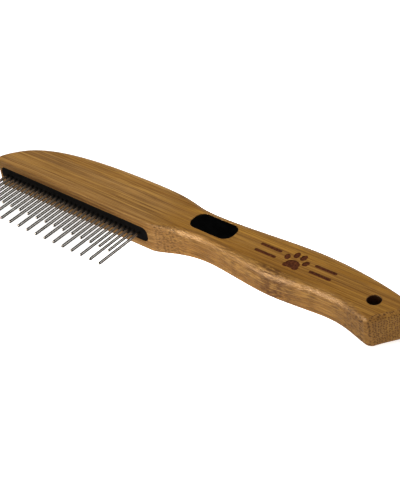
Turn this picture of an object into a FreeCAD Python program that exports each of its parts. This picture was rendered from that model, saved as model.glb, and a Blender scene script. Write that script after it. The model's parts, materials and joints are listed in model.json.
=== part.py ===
import FreeCAD, Part

import math
import os
from collections import namedtuple

from FreeCAD import Vector

# A pet comb whose steel pins spin. The bamboo body lies on its broad face, nose towards -X and
# butt towards +X. The pins point along -Y. The origin is under the middle of the whole comb.
#
# Two design axes are used for the plan outline: "station" runs along the comb from the nose,
# and "height" runs from the pin edge of the head towards the back of the comb.

# ---- driving dimensions, in millimetres -------------------------------------------------------

THICKNESS = 15.0
COMB_LENGTH = 219.0
BACK_HEIGHT = 25.7          # highest point of the back, above the pin edge

PIN_COUNT = 31
PIN_PITCH = 2.75
PIN_DIAMETER = 1.35
LONG_PIN_REACH = 25.0       # from the pin edge to the tip
SHORT_PIN_REACH = 16.5
FIRST_PIN_STATION = 6.2
PIN_HEAD_DIAMETER = 2.2
PIN_HEAD_THICKNESS = 1.2
PIN_HEAD_EASE = 0.2
PIN_RUNNING_CLEARANCE = 0.05    # radial
PIN_END_PLAY = 0.1              # at each face of the head

SLOT_HEIGHT = 7.2
SLOT_NOSE_MARGIN = 4.1      # from the axis of the first pin to the end of the slot
SLOT_NECK_MARGIN = 4.8      # from the axis of the last pin to the other end
SLOT_CORNER_RADIUS = 2.8
SLOT_EDGE_BREAK = 0.35
CARRIER_RECESS = 0.15       # the carrier's face lies this far inside the pin edge
CARRIER_DEPTH = 4.2
CARRIER_FACE_EASE = 0.15
HEAD_CHANNEL_HEIGHT = 2.8
RETAINER_DEPTH = 1.0

GRIP_STATION = 120.5
GRIP_HEIGHT = 13.5
GRIP_LENGTH = 22.2
GRIP_WIDTH = 10.3
GRIP_CORNER_RADIUS = 4.3
GRIP_DEPTH = 3.0
GRIP_RECESS = 0.15
GRIP_EASE = 0.5
POCKET_EDGE_BREAK = 0.25

HANG_HOLE_STATION = 203.5
HANG_HOLE_HEIGHT = 10.1
HANG_HOLE_RADIUS = 2.8
HANG_HOLE_EDGE_BREAK = 0.5

# Burnt-in paw print between plain rules, in the broad upper face of the handle. Each pad is an
# ellipse: place along and across from the emblem's middle, half length, half width, turn.
EMBLEM_STATION = 163.7
EMBLEM_HEIGHT = 12.7
EMBLEM_DEPTH = 0.25
EMBLEM_PADS = [
    (0.0, -1.9, 3.2, 2.5, 0),
    (-1.9, -3.1, 1.9, 1.5, 30),
    (1.9, -3.1, 1.9, 1.5, -30),
    (-4.6, 0.9, 1.75, 1.25, 115),
    (4.6, 0.9, 1.75, 1.25, 65),
    (-1.7, 3.5, 1.9, 1.3, 97),
    (1.7, 3.5, 1.9, 1.3, 83),
]
RULE_INNER_END = 8.3
RULE_OUTER_END = 19.0
RULE_WIDTH = 1.5
RULE_OFFSET = 2.1           # each side of the emblem's middle

# Points where the outline runs in a known direction. Station and height place the point, and
# direction is in degrees from +X. The pulls say how far the curve keeps to that direction on
# either side, and edge_radius is the radius of the rounded edge there. The run from the shoulder
# to the chin is the straight pin edge.
Key = namedtuple("Key", "name station height direction pull_before pull_after edge_radius")
OUTLINE = [
    Key("chin", 1.4, 0.0, 180, 0.0, 0.8, 0.8),
    Key("nose", 0.0, 2.0, 90, 1.1, 2.8, 1.4),
    Key("brow", 7.7, 14.15, 37, 3.8, 15.7, 3.2),
    Key("crest", 79.5, BACK_HEIGHT, 0, 33.4, 25.8, 3.6),
    Key("waist", 117.8, 22.4, 0, 17.1, 15.9, 4.4),
    Key("hump", 167.7, 25.1, 0, 14.0, 13.4, 4.6),
    Key("rump", 209.4, 19.3, -14, 13.1, 4.6, 3.2),
    Key("butt", COMB_LENGTH, 15.8, -90, 3.0, 2.0, 1.6),
    Key("end", 216.7, 11.4, -120, 2.0, 3.6, 2.4),
    Key("toe", 209.7, 1.2, -120, 3.6, 1.5, 2.6),
    Key("beak", 205.8, -0.5, 168, 1.5, 6.2, 2.6),
    Key("heel", 183.8, 3.0, 180, 10.7, 4.4, 4.4),
    Key("belly", 157.4, 1.1, 180, 8.7, 10.6, 4.8),
    Key("throat", 122.0, 4.4, 180, 7.7, 14.2, 4.4),
    Key("shoulder", 94.3, 0.0, 180, 5.4, 0.0, 0.8),
]
POINTS_PER_SPAN = 16        # points that carry each stretch of the rounded edges

# ---- places that follow from the dimensions ---------------------------------------------------

MIDDLE_STATION = COMB_LENGTH / 2
MIDDLE_HEIGHT = (BACK_HEIGHT - LONG_PIN_REACH) / 2
MID_PLANE = THICKNESS / 2
PIN_ROW_LENGTH = (PIN_COUNT - 1) * PIN_PITCH
SLOT_LENGTH = SLOT_NOSE_MARGIN + PIN_ROW_LENGTH + SLOT_NECK_MARGIN
SLOT_START_STATION = FIRST_PIN_STATION - SLOT_NOSE_MARGIN
SLOT_DEPTH = CARRIER_RECESS + CARRIER_DEPTH + RETAINER_DEPTH
HEAD_CHANNEL_DEPTH = PIN_HEAD_THICKNESS + 2 * PIN_END_PLAY
PIN_ROOT_HEIGHT = CARRIER_RECESS + CARRIER_DEPTH - PIN_END_PLAY

UP = Vector(0, 0, 1)
INTO_BODY = Vector(0, 1, 0)

TOOL_OVERRUN = 5.0          # how far a cutting shape runs past the face that it enters
SEARCH_MARGIN = 0.35        # how far outside a cutting shape's box its edges are looked for
ROUND_END = 0.49            # corner radius of a nearly half-round end, as a share of the width
FINE = 1e-4                 # a difference too small to matter


def place(station, height, level=0.0):
    """Point in the comb's frame for a station, a height and a level above the resting face."""
    return Vector(station - MIDDLE_STATION, height - MIDDLE_HEIGHT, level)


# ---- bamboo body ------------------------------------------------------------------------------

def heading(degrees):
    """Unit vector in plan along a direction given in degrees from +X."""
    return Vector(math.cos(math.radians(degrees)), math.sin(math.radians(degrees)), 0)


def outline_spans():
    """Stretches of the plan outline between neighbouring keys: curve, edge radius at both ends."""
    spans = []
    for key, following in zip(OUTLINE, OUTLINE[1:] + OUTLINE[:1]):
        start = place(key.station, key.height)
        end = place(following.station, following.height)
        curve = Part.BezierCurve()
        if key.pull_after:
            leaving = start + heading(key.direction) * key.pull_after
            arriving = end - heading(following.direction) * following.pull_before
            curve.setPoles([start, leaving, arriving, end])
        else:
            curve.setPoles([start, end])
        spans.append((curve, key.edge_radius, following.edge_radius))
    return spans


def edge_curve(span, inset_factor, level_of):
    """Curve along a span, moved inwards by a share of the edge radius and lifted to a level."""
    outline, first_radius, last_radius = span

    def point_at(along):
        tangent = outline.tangent(along)[0]
        blend = (1 - math.cos(math.pi * along)) / 2
        radius = first_radius + (last_radius - first_radius) * blend
        inward = Vector(tangent.y, -tangent.x, 0)
        return outline.value(along) + inward * (radius * inset_factor) + UP * level_of(radius)

    steps = [step / POINTS_PER_SPAN for step in range(POINTS_PER_SPAN + 1)]
    curve = Part.BSplineCurve()
    curve.interpolate(
        Points=[point_at(along) for along in steps], Parameters=steps,
        InitialTangent=(point_at(FINE) - point_at(0)) / FINE,
        FinalTangent=(point_at(1) - point_at(1 - FINE)) / FINE, Scale=False)
    return curve


def surface_across(curves, weights):
    """Surface across curves that share their knots, with one row of poles for each curve."""
    poles = [list(column) for column in zip(*[curve.getPoles() for curve in curves])]
    degree = len(curves) - 1
    surface = Part.BSplineSurface()
    surface.buildFromPolesMultsKnots(
        poles, curves[0].getMultiplicities(), [degree + 1] * 2,
        curves[0].getKnots(), [0, 1], False, False, curves[0].Degree, degree,
        [weights] * len(poles))
    return surface.toShape()


def rounded_blank():
    """Solid of the body before cutting: flat faces, a plumb wall and quarter-round edges."""
    quarter_round = [1, math.sqrt(0.5), 1]
    faces = []
    lower_rim = []
    upper_rim = []
    for span in outline_spans():
        lower_flat = edge_curve(span, 1, lambda radius: 0)
        lower_corner = edge_curve(span, 0, lambda radius: 0)
        lower_wall = edge_curve(span, 0, lambda radius: radius)
        upper_wall = edge_curve(span, 0, lambda radius: THICKNESS - radius)
        upper_corner = edge_curve(span, 0, lambda radius: THICKNESS)
        upper_flat = edge_curve(span, 1, lambda radius: THICKNESS)
        faces.append(surface_across([lower_flat, lower_corner, lower_wall], quarter_round))
        faces.append(surface_across([lower_wall, upper_wall], [1, 1]))
        faces.append(surface_across([upper_wall, upper_corner, upper_flat], quarter_round))
        lower_rim.append(lower_flat.toShape())
        upper_rim.append(upper_flat.toShape())
    faces.append(Part.Face(Part.Wire(lower_rim)))
    faces.append(Part.Face(Part.Wire(upper_rim)))
    shell = Part.makeShell(faces)
    shell.sewShape()
    return Part.makeSolid(shell)


def rounded_block(length, width, height, corner, direction, radius):
    """Box from its lowest corner, with its four edges along a direction rounded."""
    block = Part.makeBox(length, width, height, corner)
    rounded = [edge for edge in block.Edges
               if edge.tangentAt(edge.FirstParameter).cross(direction).Length < FINE]
    return block.makeFillet(radius, rounded)


def slot_block(start, height, length, depth, block_height, corner_radius):
    """Block with rounded ends in the slot, from a station and height on, centred on the pins."""
    corner = place(start, height, MID_PLANE - block_height / 2)
    return rounded_block(length, depth, block_height, corner, INTO_BODY, corner_radius)


def slot_filler(height, depth):
    """Block that fills the whole section of the slot over a depth."""
    return slot_block(
        SLOT_START_STATION, height, SLOT_LENGTH, depth, SLOT_HEIGHT, SLOT_CORNER_RADIUS)


def grip_block(floor, ceiling):
    """Rounded rectangle that stands in the neck between two levels."""
    corner = place(GRIP_STATION - GRIP_LENGTH / 2, GRIP_HEIGHT - GRIP_WIDTH / 2, floor)
    return rounded_block(
        GRIP_LENGTH, GRIP_WIDTH, ceiling - floor, corner, UP, GRIP_CORNER_RADIUS)


def emblem_pad(along, across, half_length, half_width, turn):
    """Elliptical pad of the paw print, as a cutting shape."""
    middle = place(EMBLEM_STATION + along, EMBLEM_HEIGHT + across, THICKNESS - EMBLEM_DEPTH)
    pad = Part.Wire([Part.Ellipse(middle, half_length, half_width).toShape()])
    pad.rotate(middle, UP, turn)
    return Part.Face(pad).extrude(UP * TOOL_OVERRUN)


def emblem_rule(side, offset):
    """Plain rule with round ends beside the paw print, as a cutting shape."""
    length = RULE_OUTER_END - RULE_INNER_END
    middle = side * (RULE_INNER_END + RULE_OUTER_END) / 2
    corner = place(EMBLEM_STATION + middle - length / 2,
                   EMBLEM_HEIGHT + offset - RULE_WIDTH / 2, THICKNESS - EMBLEM_DEPTH)
    return rounded_block(
        length, RULE_WIDTH, TOOL_OVERRUN, corner, UP, RULE_WIDTH * ROUND_END)


def edges_at(shape, tool, axis, level):
    """Edges of a shape that lie at a level along an axis, within the bounds of a tool."""
    bounds = tool.BoundBox
    bounds.enlarge(SEARCH_MARGIN)

    def on_level(edge):
        levels = [getattr(vertex.Point, axis) for vertex in edge.Vertexes]
        return all(abs(value - level) < FINE for value in levels)

    return [edge for edge in shape.Edges if on_level(edge) and bounds.isInside(edge.BoundBox)]


def bamboo_body():
    """Head, neck and handle in one piece, with the slot, grip pocket, hang hole and emblem."""
    pin_edge = place(0, 0).y
    body = rounded_blank()

    slot = slot_filler(-TOOL_OVERRUN, SLOT_DEPTH + TOOL_OVERRUN)
    body = body.cut(slot)
    body = body.makeFillet(SLOT_EDGE_BREAK, edges_at(body, slot, "y", pin_edge))

    pocket = grip_block(THICKNESS - GRIP_DEPTH, THICKNESS + TOOL_OVERRUN)
    body = body.cut(pocket)
    body = body.makeFillet(POCKET_EDGE_BREAK, edges_at(body, pocket, "z", THICKNESS))

    hole = Part.makeCylinder(
        HANG_HOLE_RADIUS, THICKNESS + 2 * TOOL_OVERRUN,
        place(HANG_HOLE_STATION, HANG_HOLE_HEIGHT, -TOOL_OVERRUN), UP)
    body = body.cut(hole)
    rims = edges_at(body, hole, "z", 0) + edges_at(body, hole, "z", THICKNESS)
    body = body.makeFillet(HANG_HOLE_EDGE_BREAK, rims)

    paw = [emblem_pad(*pad) for pad in EMBLEM_PADS]
    rules = [emblem_rule(side, offset)
             for side in (-1, 1) for offset in (-RULE_OFFSET, RULE_OFFSET)]
    return body.cut(paw[0].multiFuse(paw[1:] + rules).removeSplitter())


# ---- plastic pieces in the slot, and the grip -------------------------------------------------

def pin_stations():
    """Stations of the pin axes, from the nose towards the handle."""
    return [FIRST_PIN_STATION + index * PIN_PITCH for index in range(PIN_COUNT)]


def pin_carrier():
    """Strip that fills the slot, with a bore for each pin and a channel for the pin heads."""
    carrier = slot_filler(CARRIER_RECESS, CARRIER_DEPTH)
    front = place(0, CARRIER_RECESS).y
    carrier = carrier.makeFillet(CARRIER_FACE_EASE, edges_at(carrier, carrier, "y", front))

    bore_radius = PIN_DIAMETER / 2 + PIN_RUNNING_CLEARANCE
    bores = [
        Part.makeCylinder(
            bore_radius, CARRIER_DEPTH, place(station, CARRIER_RECESS, MID_PLANE), INTO_BODY)
        for station in pin_stations()]
    channel = slot_block(
        FIRST_PIN_STATION - HEAD_CHANNEL_HEIGHT / 2,
        CARRIER_RECESS + CARRIER_DEPTH - HEAD_CHANNEL_DEPTH,
        PIN_ROW_LENGTH + HEAD_CHANNEL_HEIGHT, HEAD_CHANNEL_DEPTH,
        HEAD_CHANNEL_HEIGHT, HEAD_CHANNEL_HEIGHT * ROUND_END)
    return carrier.cut(channel.multiFuse(bores))


def pin_retainer():
    """Strip behind the carrier that keeps the pin heads in their channel."""
    return slot_filler(CARRIER_RECESS + CARRIER_DEPTH, RETAINER_DEPTH)


def thumb_grip():
    """Rubber pad in the neck, a little below the broad face, with an eased upper edge."""
    level = THICKNESS - GRIP_RECESS
    grip = grip_block(THICKNESS - GRIP_DEPTH, level)
    return grip.makeFillet(GRIP_EASE, edges_at(grip, grip, "z", level))


# ---- pins -------------------------------------------------------------------------------------

def pin(station, reach):
    """Turned pin: round tip, plain shaft, and a flat head at its inner end."""
    shaft_radius = PIN_DIAMETER / 2
    head_radius = PIN_HEAD_DIAMETER / 2
    head_height = PIN_ROOT_HEIGHT - PIN_HEAD_THICKNESS

    def at(radius, height):
        return place(station + radius, height, MID_PLANE)

    tip_middle = -reach + shaft_radius
    slant = shaft_radius * math.sqrt(0.5)
    tip = Part.Arc(at(0, -reach), at(slant, tip_middle - slant), at(shaft_radius, tip_middle))
    corners = [
        at(shaft_radius, tip_middle),
        at(shaft_radius, head_height),
        at(head_radius, head_height),
        at(head_radius, PIN_ROOT_HEIGHT - PIN_HEAD_EASE),
        at(head_radius - PIN_HEAD_EASE, PIN_ROOT_HEIGHT),
        at(0, PIN_ROOT_HEIGHT),
        at(0, -reach),
    ]
    profile = Part.Wire([tip.toShape(), *Part.makePolygon(corners).Edges])
    return Part.Face(profile).revolve(at(0, 0), INTO_BODY, 360)


def pins():
    """Every pin by its node name, long and short in turn, with a long one at both ends."""
    made = {}
    for index, station in enumerate(pin_stations()):
        reach = SHORT_PIN_REACH if index % 2 else LONG_PIN_REACH
        made[f"pin_{index + 1:02d}"] = pin(station, reach)
    return made


# ---- export -----------------------------------------------------------------------------------

def main():
    nodes = {
        "bamboo_body": bamboo_body(),
        "pin_carrier": pin_carrier(),
        "pin_retainer": pin_retainer(),
        "thumb_grip": thumb_grip(),
        **pins(),
    }
    os.makedirs("parts", exist_ok=True)
    for name, shape in nodes.items():
        shape.exportStep(f"parts/{name}.step")
        box = shape.BoundBox
        print(f"{name}: valid {shape.isValid()}, solids {len(shape.Solids)}, "
              f"volume {shape.Volume:.1f} mm3, y {box.YMin:.2f} to {box.YMax:.2f}")


main()
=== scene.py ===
"""Looks of a bamboo grooming comb with spinning steel pins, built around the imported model."""

import json
import math

import bpy
from mathutils import Matrix, Vector


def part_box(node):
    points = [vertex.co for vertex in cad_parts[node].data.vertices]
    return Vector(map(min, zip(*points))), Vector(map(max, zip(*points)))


MM = 0.001

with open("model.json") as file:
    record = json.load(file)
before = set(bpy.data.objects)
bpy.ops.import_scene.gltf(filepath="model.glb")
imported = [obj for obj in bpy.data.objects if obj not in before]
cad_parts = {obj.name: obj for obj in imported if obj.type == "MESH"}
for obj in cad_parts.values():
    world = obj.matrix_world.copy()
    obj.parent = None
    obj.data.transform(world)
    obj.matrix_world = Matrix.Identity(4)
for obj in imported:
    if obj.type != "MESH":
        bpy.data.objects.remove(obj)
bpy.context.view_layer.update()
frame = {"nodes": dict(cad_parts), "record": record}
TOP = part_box("bamboo_body")[1].z
SLOT_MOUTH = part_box("pin_carrier")[0].y

# ---- the studio -------------------------------------------------------------------------------

CAMERA_AIM = Vector((5.27, 9.47, 7.69)) * MM
CAMERA_DISTANCE = 591 * MM
CAMERA_AZIMUTH = 46.0       # degrees from +Y towards -X, the way the camera looks
CAMERA_ELEVATION = 37.1
CAMERA_ROLL = 8.8
CAMERA_LENS = 105.9
SENSOR = 36.0

WORLD_COLOUR = (1.0, 0.98, 0.96, 1.0)
WORLD_STRENGTH = 0.20

FLOOR_SIZE = 4.0
FLOOR_COLOUR = (0.70, 0.70, 0.70, 1.0)
FLOOR_ROUGHNESS = 0.9
GLOW_COLOUR = (1.0, 0.99, 0.97, 1.0)
GLOW = 2.15                 # light given by the paper under the neck and handle
HEAD_GLOW = 0.34            # share of it under the head, and the places in mm where it rises
HEAD_GLOW_PLACE = (-55.0, -10.0)
BUTT_GLOW = 0.28            # share of it past the butt, and the places in mm where it falls
BUTT_GLOW_PLACE = (45.0, 120.0)

# name, direction from the comb, distance, width and height in metres, watts, colour
LAMPS = [
    ("overhead", (0.02, 0.18, 1.00), 1.20, 0.90, 0.90, 10.0, (1.0, 1.0, 1.0)),
    ("key", (-0.57, -0.33, 0.75), 0.80, 0.45, 0.45, 1.0, (1.0, 0.99, 0.97)),
    ("front", (0.40, -0.85, 0.30), 0.90, 0.60, 0.60, 2.0, (1.0, 0.99, 0.98)),
]
# seen only as reflections, in the varnish and in the pins
CARDS = [
    ("varnish_card", (-0.37, -0.83, 0.38), 0.34, 0.06, 0.20, 2.1, (1.0, 0.90, 0.80)),
    ("rim_card", (-0.57, 0.81, 0.10), 0.90, 0.50, 0.24, 0.6, (1.0, 0.95, 0.86)),
    ("pin_card", (0.575, 0.554, 0.603), 0.90, 0.32, 0.36, 1.5, (1.0, 1.0, 1.0)),
]


def srgb(red, green, blue):
    """Linear colour from 0-255 display values."""
    def linear(value):
        share = value / 255
        return share / 12.92 if share <= 0.04045 else ((share + 0.055) / 1.055) ** 2.4
    return (linear(red), linear(green), linear(blue), 1.0)


# ---- node materials ---------------------------------------------------------------------------

class Surface:
    """A node material, with a short call for each kind of node that the surfaces here use."""

    def __init__(self, name, **shader_values):
        self.material = bpy.data.materials.new(name)
        self.material.use_nodes = True
        self.tree = self.material.node_tree
        self.tree.nodes.clear()
        self.shader = self.node("BsdfPrincipled")
        self.node("OutputMaterial", {"Surface": self.shader.outputs["BSDF"]})
        self.set(**shader_values)

    def set(self, **shader_values):
        """Sets shader sockets: base_color is the socket Base Color."""
        for name, value in shader_values.items():
            words = name.replace("_", " ").title().replace("Ior", "IOR")
            self.feed(self.shader.inputs[words], value)

    def feed(self, socket, value):
        """Links a socket to another one, or gives it a fixed value."""
        if isinstance(value, bpy.types.NodeSocket):
            self.tree.links.new(value, socket)
        else:
            socket.default_value = value

    def node(self, kind, inputs=None, **settings):
        """New node, with its settings made before its inputs are fed."""
        made = self.tree.nodes.new("ShaderNode" + kind)
        for name, value in settings.items():
            setattr(made, name, value)
        for socket, value in (inputs or {}).items():
            self.feed(made.inputs[socket], value)
        return made

    def math(self, operation, *values):
        return self.node("Math", dict(enumerate(values)), operation=operation).outputs[0]

    def vector(self, operation, *values):
        return self.node("VectorMath", dict(enumerate(values)), operation=operation).outputs[0]

    def add(self, first, second):
        return self.math("ADD", first, second)

    def times(self, first, second):
        return self.math("MULTIPLY", first, second)

    def minus(self, first, second):
        return self.math("SUBTRACT", first, second)

    def absolute(self, value):
        return self.math("ABSOLUTE", value)

    def place_mm(self):
        """Place on the object in millimetres, in the comb's frame."""
        place = self.node("TexCoord").outputs["Object"]
        return self.vector("MULTIPLY", place, (1 / MM,) * 3)

    def parts(self, vector):
        """The x, y and z of a vector."""
        return self.node("SeparateXYZ", {0: vector}).outputs[:3]

    def joined(self, x, y, z):
        return self.node("CombineXYZ", {0: x, 1: y, 2: z}).outputs[0]

    def noise(self, vector, scale, detail=2.0, roughness=0.5, output="Fac"):
        inputs = {"Vector": vector, "Scale": scale, "Detail": detail, "Roughness": roughness}
        return self.node("TexNoise", inputs).outputs[output]

    def stretched_noise(self, vector, rate, detail=2.0, roughness=0.5, output="Fac"):
        """Noise that changes at a different rate along each axis, given per millimetre."""
        stretched = self.vector("MULTIPLY", vector, rate)
        return self.noise(stretched, 1.0, detail, roughness, output)

    def dots(self, vector, pitch, randomness, dimensions):
        """Distance to the nearest of many scattered points, in pitches."""
        inputs = {"Vector": vector, "Scale": 1 / pitch, "Randomness": randomness}
        made = self.node("TexVoronoi", inputs, voronoi_dimensions=dimensions)
        return made.outputs["Distance"]

    def random(self, value):
        return self.node("TexWhiteNoise", {"W": value}, noise_dimensions="1D").outputs["Value"]

    def remap(self, value, low, high, to_low=0.0, to_high=1.0):
        """Passes softly from to_low to to_high while the value passes from low to high."""
        inputs = {"Value": value, "From Min": low, "From Max": high,
                  "To Min": to_low, "To Max": to_high}
        return self.node("MapRange", inputs, interpolation_type="SMOOTHSTEP").outputs[0]

    def mix(self, factor, first, second, blend="MIX"):
        made = self.node("Mix", data_type="RGBA", blend_type=blend)
        for socket, value in zip((0, 6, 7), (factor, first, second)):
            self.feed(made.inputs[socket], value)
        return made.outputs[2]

    def bump(self, height, distance, normal=None):
        """Normal bent by a height from 0 to 1 that stands for a distance in metres."""
        inputs = {"Height": height, "Distance": distance, "Strength": 1.0}
        if normal is not None:
            inputs["Normal"] = normal
        return self.node("Bump", inputs).outputs[0]


NOISE_SPREAD = (0.3, 0.7)   # between these lies nearly all of a noise

# ---- bamboo -----------------------------------------------------------------------------------
# Lengths are in millimetres. A pair with no other comment is the two ends of a soft step, and two
# more numbers after it are the values at those ends. A noise is given by its rate along each axis,
# its detail and its roughness.

STRIP_WIDTH = 5.6           # glued strips, counted across the comb: the front one is number -1
STRIP_START = 4.6
STRIP_TONE = (0.93, 1.07)   # brightness of the darkest and the lightest strip
STRIP_BLUE = (1.08, 0.90)   # and how much of it the blue has
STRIP_SHIFT = 97.0          # sets the grain of each strip apart
GLUE_LINE = (0.478, 0.5)    # in strip widths from the middle of a strip
GLUE_DARKNESS = 0.25

DRIFT_RATE = (0.012, 0.05, 0.05)    # how fast the grain wanders along each axis
DRIFT_REACH = 2.2                   # and how far

END_GRAIN_SLANT = (0.06, 0.34)      # how far a surface faces along the comb
SPECK_SLANT = (0.75, 0.50)          # the same, for the specks on slanted surfaces only
BUNDLE_PITCH = 0.90         # between the dark fibre bundles
BUNDLE_SCATTER = 0.5
BUNDLE_EDGE = (0.41, 0.14)
BUNDLE_DARKNESS = (0.0, 0.7, 0.36, 0.86)
SPECK_PITCH = 0.75          # between the dots where the bundles come out at the surface
SPECK_SCATTER = 0.7
SPECK_EDGE = (0.54, 0.26)
SPECK_STRETCH = (0.45, 1, 1)
GRAIN_STRETCH = 0.016       # the grain changes this much more slowly along the comb

FIBRES = ((1.2, 1.5, 1.5), 2.0, 0.6)
FIBRE_SHADE = (0.50, 0.58, 0.0, 0.34)
THREADS = ((1.2, 2.7, 2.7), 3.0, 0.6)
THREAD_SHADE = (0.48, 0.60, 0.0, 0.50)
STREAKS = ((0.6, 0.30, 0.30), 3.0, 0.55)
STREAK_EDGE = (0.34, 0.66)
PITH_SHARE = 0.50           # of the end grain's colour

KNOT_PLACE = 51.0           # where the culm's knot lies in the strip along the front
KNOT_STEP = 160.0           # its shift from strip to strip
KNOT_INTERVAL = 700.0
KNOT_REACH = 16.0
KNOT_SWIRL = 0.9            # how far the knot pushes the grain aside
KNOT_DASHES = ((0.36, 1.0, 1.0), 3.0, 0.6)
KNOT_DASH_EDGE = (0.42, 0.56)
KNOT_DARKNESS = 0.84

HANDLED = (-22.0, -2.0)     # from here to here the edges pass from dull varnish to polished
BROAD_FACE = (0.90, 0.995)  # how far a surface faces up or down: the broad faces stay dull
VARNISH_WAVES = ((0.22, 0.45, 0.45), 4.0, 0.65)
VARNISH_ROUGHNESS = (0.32, 0.46)
DULL_ROUGHNESS = 0.16       # added where the varnish is dull
BURNT_ROUGHNESS = 0.3       # added in the burnt emblem
VARNISH_IOR = 1.5
SPECULAR_LEVELS = (0.16, 0.45)      # dull, and polished
SPECULAR_TINT = (1.0, 0.71, 0.42, 1.0)
WAVE_DEPTH = 0.36
RIDGE_DEPTH = 0.035
FIBRE_RIDGE = 0.6
BUNDLE_GROOVE = 0.4

GROUND_LIGHT = srgb(171, 126, 58)
GROUND_DARK = srgb(147, 103, 43)
FIBRE_COLOUR = srgb(84, 50, 16)
BUNDLE_COLOUR = srgb(62, 35, 14)
PITH_COLOUR = srgb(144, 104, 55)
KNOT_COLOUR = srgb(78, 43, 17)
HEAD_TINT = (1.04, 1.07, 1.40, 1.0)
HANDLE_TINT = (0.96, 0.92, 0.84, 1.0)

BURNT_COLOUR = srgb(62, 28, 15)
BURNT_EDGE = srgb(96, 52, 28)
CHAR = (1.6, 3.0)           # scale and detail of the burning's noise
CHAR_SPREAD = (0.35, 0.7)
EMBLEM_LOW = (34.0, 7.0)    # box round the emblem
EMBLEM_HIGH = (74.0, 18.0)
EMBLEM_DEPTH = 0.25
BURN_DEPTHS = (0.06, 0.14)  # below the broad face, where the burning starts and is full

BORE_COLOUR = srgb(52, 27, 12)
BORE_STAIN = 0.45           # how far the dark of the hang hole's wall reaches past its radius


def bamboo():
    """Varnished bamboo: glued strips, straight fibres, dotted end grain and a burnt emblem."""
    s = Surface("bamboo_varnished", ior=VARNISH_IOR, specular_tint=SPECULAR_TINT)
    place = s.place_mm()
    x, y, z = s.parts(place)
    normal = s.parts(s.node("TexCoord").outputs["Normal"])
    facing = s.absolute(normal[0])
    end_grain = s.remap(facing, *END_GRAIN_SLANT)
    handled = s.remap(x, *HANDLED)

    strip_place = s.math("DIVIDE", s.minus(y, STRIP_START), STRIP_WIDTH)
    strip = s.math("FLOOR", strip_place)
    strip_tone = s.random(strip)

    # fibre bundles run along the comb, so they are lines on its faces and dots at its ends
    drift = s.parts(s.stretched_noise(place, DRIFT_RATE, output="Color"))
    bent_y, bent_z = (s.add(value, s.times(s.minus(wander, 0.5), DRIFT_REACH))
                      for value, wander in zip((y, z), drift[1:]))
    knot = knot_mask(s, x, strip)
    swirl = s.times(knot, KNOT_SWIRL)
    strip_shift = s.times(strip_tone, STRIP_SHIFT)
    swirled_z = s.add(bent_z, swirl)
    grain = s.joined(s.add(s.times(x, GRAIN_STRETCH), strip_shift), s.add(bent_y, swirl), swirled_z)
    section = s.joined(s.add(bent_y, strip_shift), swirled_z, 0.0)
    lines = s.remap(s.dots(section, BUNDLE_PITCH, BUNDLE_SCATTER, "2D"), *BUNDLE_EDGE)
    speck_place = s.vector("MULTIPLY", place, SPECK_STRETCH)
    specks = s.remap(s.dots(speck_place, SPECK_PITCH, SPECK_SCATTER, "3D"), *SPECK_EDGE)
    slant = s.times(end_grain, s.remap(facing, *SPECK_SLANT))
    bundle = s.add(s.times(lines, s.minus(1.0, slant)), s.times(specks, slant))
    fibres = s.stretched_noise(grain, *FIBRES)
    threads = s.stretched_noise(grain, *THREADS)
    streaks = s.stretched_noise(grain, *STREAKS)

    colour = s.mix(s.remap(streaks, *STREAK_EDGE), GROUND_DARK, GROUND_LIGHT)
    colour = s.mix(s.remap(fibres, *FIBRE_SHADE), colour, FIBRE_COLOUR)
    colour = s.mix(s.remap(threads, *THREAD_SHADE), colour, FIBRE_COLOUR)
    colour = s.mix(s.times(end_grain, PITH_SHARE), colour, PITH_COLOUR)
    shown = s.remap(end_grain, *BUNDLE_DARKNESS)
    colour = s.mix(s.times(bundle, shown), colour, BUNDLE_COLOUR)
    tone, blue = (s.remap(strip_tone, 0.0, 1.0, *span) for span in (STRIP_TONE, STRIP_BLUE))
    colour = s.mix(1.0, colour, s.joined(tone, tone, s.times(tone, blue)), "MULTIPLY")
    colour = s.mix(1.0, colour, s.mix(handled, HEAD_TINT, HANDLE_TINT), "MULTIPLY")
    dashes = s.remap(s.stretched_noise(place, *KNOT_DASHES), *KNOT_DASH_EDGE)
    colour = s.mix(s.times(s.times(knot, dashes), KNOT_DARKNESS), colour, KNOT_COLOUR)
    from_middle = s.absolute(s.minus(s.math("FRACT", strip_place), 0.5))
    glue = s.times(s.remap(from_middle, *GLUE_LINE), GLUE_DARKNESS)
    colour = s.mix(glue, colour, FIBRE_COLOUR)

    burnt = emblem_mask(s, x, y, z)
    char = s.remap(s.noise(place, *CHAR), *CHAR_SPREAD)
    colour = s.mix(burnt, colour, s.mix(char, BURNT_COLOUR, BURNT_EDGE))
    colour = s.mix(bore_mask(s, place), colour, BORE_COLOUR)

    broad = s.remap(s.absolute(normal[2]), *BROAD_FACE)
    polished = s.times(handled, s.minus(1.0, broad))
    varnish = s.stretched_noise(place, *VARNISH_WAVES)
    gloss = s.add(s.remap(varnish, *NOISE_SPREAD, *VARNISH_ROUGHNESS),
                  s.remap(polished, 0.0, 1.0, DULL_ROUGHNESS, 0.0))
    waves = s.bump(varnish, WAVE_DEPTH * MM)
    ridges = s.minus(s.times(fibres, FIBRE_RIDGE), s.times(bundle, BUNDLE_GROOVE))
    s.set(base_color=colour, roughness=s.add(gloss, s.times(burnt, BURNT_ROUGHNESS)),
          normal=s.bump(ridges, RIDGE_DEPTH * MM, waves),
          specular_ior_level=s.remap(polished, 0.0, 1.0, *SPECULAR_LEVELS))
    return s.material


def knot_mask(s, x, strip):
    """1 at the culm's knot in this strip, falling to 0 on both sides of it."""
    knot_x = s.add(s.times(strip, KNOT_STEP), KNOT_PLACE + KNOT_STEP)
    from_knot = s.math("WRAP", s.minus(x, knot_x), KNOT_INTERVAL / 2, -KNOT_INTERVAL / 2)
    return s.remap(s.absolute(from_knot), KNOT_REACH, 0.0)


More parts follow.
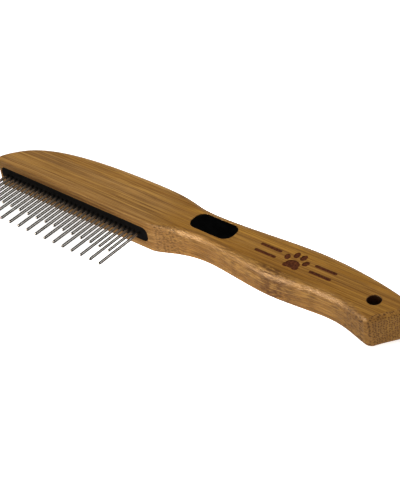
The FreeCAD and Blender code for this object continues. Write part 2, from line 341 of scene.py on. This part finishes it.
def emblem_mask(s, x, y, z):
    """1 inside the engraved emblem, 0 elsewhere, in a surface that gives x, y and z in mm."""
    top = TOP / MM
    inside = s.remap(z, *(top - depth for depth in BURN_DEPTHS))
    for value, low, high in ((x, EMBLEM_LOW[0], EMBLEM_HIGH[0]),
                             (y, EMBLEM_LOW[1], EMBLEM_HIGH[1]),
                             (z, top - 2 * EMBLEM_DEPTH, top)):
        inside = s.times(inside, s.math("GREATER_THAN", value, low))
        inside = s.times(inside, s.math("LESS_THAN", value, high))
    return inside


def bore_mask(s, place):
    """1 on the wall of the hang hole and its rim, 0 elsewhere."""
    mount = next(mount for mount in frame["record"]["mounts"] if mount["name"] == "hang_hole")
    axis = [value / MM for value in mount["pos_m"][:2]]
    from_axis = s.vector("SUBTRACT", place, (*axis, 0.0))
    flat = s.vector("MULTIPLY", from_axis, (1.0, 1.0, 0.0))
    distance = s.node("VectorMath", {0: flat}, operation="LENGTH").outputs["Value"]
    radius = mount["dims"]["r_mm"]
    return s.remap(distance, radius + BORE_STAIN, radius)


# ---- black plastic and rubber, steel ----------------------------------------------------------

CLOUD_SPREAD = (0.35, 0.65)

# The grain is given by the scale and detail of its noise, the cloud by its scale, and the depth is
# how far the grain stands proud. The plastic is satin with a spark-eroded grain.
CARRIER_PLASTIC = {"name": "moulded_black_plastic", "ior": 1.5, "specular": 0.06,
                   "grain": (6.0, 3.0), "cloud": 0.25, "blacks": (srgb(7, 6, 5), srgb(13, 10, 9)),
                   "roughness": (0.42, 0.58), "depth": 0.012 * MM}
# The rubber is soft and dead matt.
GRIP_RUBBER = {"name": "soft_black_rubber", "ior": 1.45, "specular": 0.01,
               "grain": (9.0, 4.0), "cloud": 0.3, "blacks": (srgb(2, 2, 2), srgb(5, 5, 5)),
               "roughness": (0.78, 0.92), "depth": 0.02 * MM}

WIRE_LINES = ((9.0, 0.12, 9.0), 3.0)
WIRE_MARKS = (1.3, 3.0)     # scale and detail of their noise
WIRE_MARK_SPREAD = (0.35, 0.7)
WIRE_ROUGHNESS = (0.14, 0.22)
STEEL_LIGHT = srgb(138, 135, 130)
STEEL_DARK = srgb(116, 112, 106)
# Painted reflection: a band on each pin near the slot, browner, rougher and less metallic, that
# stands for the brown bamboo the pin reflects there.
ROOT_REFLECTION_PEAK = 4.0             # millimetres out from the slot, where the pins are dullest
ROOT_REFLECTION_END = 8.0              # and where they are bright again
ROOT_REFLECTION_COLOUR = srgb(128, 112, 94)
ROOT_REFLECTION_SHARE = 0.7            # how much of its colour shows
ROOT_REFLECTION_ROUGHNESS = 0.1        # added by it
ROOT_REFLECTION_METAL = 0.72           # how metallic the pin stays in the painted reflection


def black_moulding(name, ior, specular, grain, cloud, blacks, roughness, depth):
    """Slightly cloudy black with a fine grain moulded into it."""
    s = Surface(name, ior=ior, specular_ior_level=specular)
    place = s.place_mm()
    texture = s.noise(place, *grain)
    tone = s.remap(s.noise(place, cloud), *CLOUD_SPREAD)
    s.set(base_color=s.mix(tone, *blacks),
          roughness=s.remap(texture, *NOISE_SPREAD, *roughness), normal=s.bump(texture, depth))
    return s.material


def pin_steel():
    """Drawn and polished pin wire, with faint lines along it and, near its root, a painted
    reflection of the brown bamboo: a browner, rougher and less metallic band.
    """
    s = Surface("drawn_steel")
    place = s.place_mm()
    lines = s.stretched_noise(place, *WIRE_LINES)
    marks = s.remap(s.noise(place, *WIRE_MARKS), *WIRE_MARK_SPREAD)
    outside = s.minus(SLOT_MOUTH / MM, s.parts(place)[1])
    # painted reflection, rising from the slot's mouth to its peak and gone again by its end
    painted_root_reflection = s.times(s.remap(outside, 0.0, ROOT_REFLECTION_PEAK), s.remap(outside, ROOT_REFLECTION_END, ROOT_REFLECTION_PEAK))
    colour = s.mix(marks, STEEL_LIGHT, STEEL_DARK)
    drawn = s.remap(lines, *NOISE_SPREAD, *WIRE_ROUGHNESS)
    s.set(base_color=s.mix(s.times(painted_root_reflection, ROOT_REFLECTION_SHARE), colour, ROOT_REFLECTION_COLOUR),
          roughness=s.add(drawn, s.times(painted_root_reflection, ROOT_REFLECTION_ROUGHNESS)),
          metallic=s.remap(painted_root_reflection, 0.0, 1.0, 1.0, ROOT_REFLECTION_METAL))
    return s.material


def dress_nodes():
    """Gives every carried-over node its material."""
    made = {
        "bamboo": bamboo(),
        "carrier_plastic": black_moulding(**CARRIER_PLASTIC),
        "grip_rubber": black_moulding(**GRIP_RUBBER),
        "pin_steel": pin_steel(),
    }
    for part in frame["record"]["subparts"]:
        node = frame["nodes"][part["node"]]
        for slot in node.material_slots:
            slot.material = made[part["material_slot"]]


# ---- floor, lights and camera -----------------------------------------------------------------

def floor():
    """White paper that the comb lies on. It glows as painted light, less under the head and past
    the butt, so it lights the comb from below and hides most of its shadow.
    """
    half = FLOOR_SIZE / 2
    corners = [(-half, -half, 0), (half, -half, 0), (half, half, 0), (-half, half, 0)]
    mesh = bpy.data.meshes.new("floor")
    mesh.from_pydata(corners, [], [(0, 1, 2, 3)])
    ground = bpy.data.objects.new("floor", mesh)
    bpy.context.scene.collection.objects.link(ground)
    s = Surface("pale_floor", roughness=FLOOR_ROUGHNESS, base_color=FLOOR_COLOUR,
                emission_color=GLOW_COLOUR)
    x = s.parts(s.place_mm())[0]
    # painted light: the paper's glow, dimmer under the head and past the butt
    rise = s.remap(x, *HEAD_GLOW_PLACE, HEAD_GLOW * GLOW, GLOW)
    s.set(emission_strength=s.times(rise, s.remap(x, *BUTT_GLOW_PLACE, 1.0, BUTT_GLOW)))
    mesh.materials.append(s.material)
    ground.visible_glossy = False


def lights():
    """A dim pale room, soft lamps that light the comb, and cards that shine in it."""
    world = bpy.data.worlds.new("studio")
    world.use_nodes = True
    background = world.node_tree.nodes["Background"]
    background.inputs["Color"].default_value = WORLD_COLOUR
    background.inputs["Strength"].default_value = WORLD_STRENGTH
    bpy.context.scene.world = world
    for lamp in LAMPS:
        area_light(*lamp).visible_glossy = False
    for card in CARDS:
        area_light(*card).visible_diffuse = False


def area_light(name, direction, distance, width, height, watts, colour):
    """Rectangular lamp that faces the comb and that the camera doesn't see."""
    lamp = bpy.data.lights.new(name, "AREA")
    lamp.shape = "RECTANGLE"
    lamp.size = width
    lamp.size_y = height
    lamp.energy = watts
    lamp.color = colour
    holder = bpy.data.objects.new(name, lamp)
    towards = Vector(direction).normalized()
    holder.location = towards * distance
    holder.rotation_euler = towards.to_track_quat("Z", "Y").to_euler()
    holder.visible_camera = False
    bpy.context.scene.collection.objects.link(holder)
    return holder


def camera():
    """Camera at the aim, azimuth, elevation and roll given at the top."""
    azimuth = math.radians(CAMERA_AZIMUTH)
    elevation = math.radians(CAMERA_ELEVATION)
    back = Vector((math.sin(azimuth) * math.cos(elevation),
                   -math.cos(azimuth) * math.cos(elevation), math.sin(elevation)))
    right = Vector((math.cos(azimuth), math.sin(azimuth), 0))
    facing = Matrix((right, back.cross(right), back)).transposed().to_4x4()
    rolled = facing @ Matrix.Rotation(math.radians(-CAMERA_ROLL), 4, "Z")
    data = bpy.data.cameras.new("camera")
    data.lens = CAMERA_LENS
    data.sensor_width = SENSOR
    holder = bpy.data.objects.new("camera", data)
    holder.matrix_world = Matrix.Translation(CAMERA_AIM + back * CAMERA_DISTANCE) @ rolled
    bpy.context.scene.collection.objects.link(holder)
    bpy.context.scene.camera = holder


dress_nodes()
floor()
lights()
camera()
bpy.context.scene.view_settings.view_transform = "Standard"
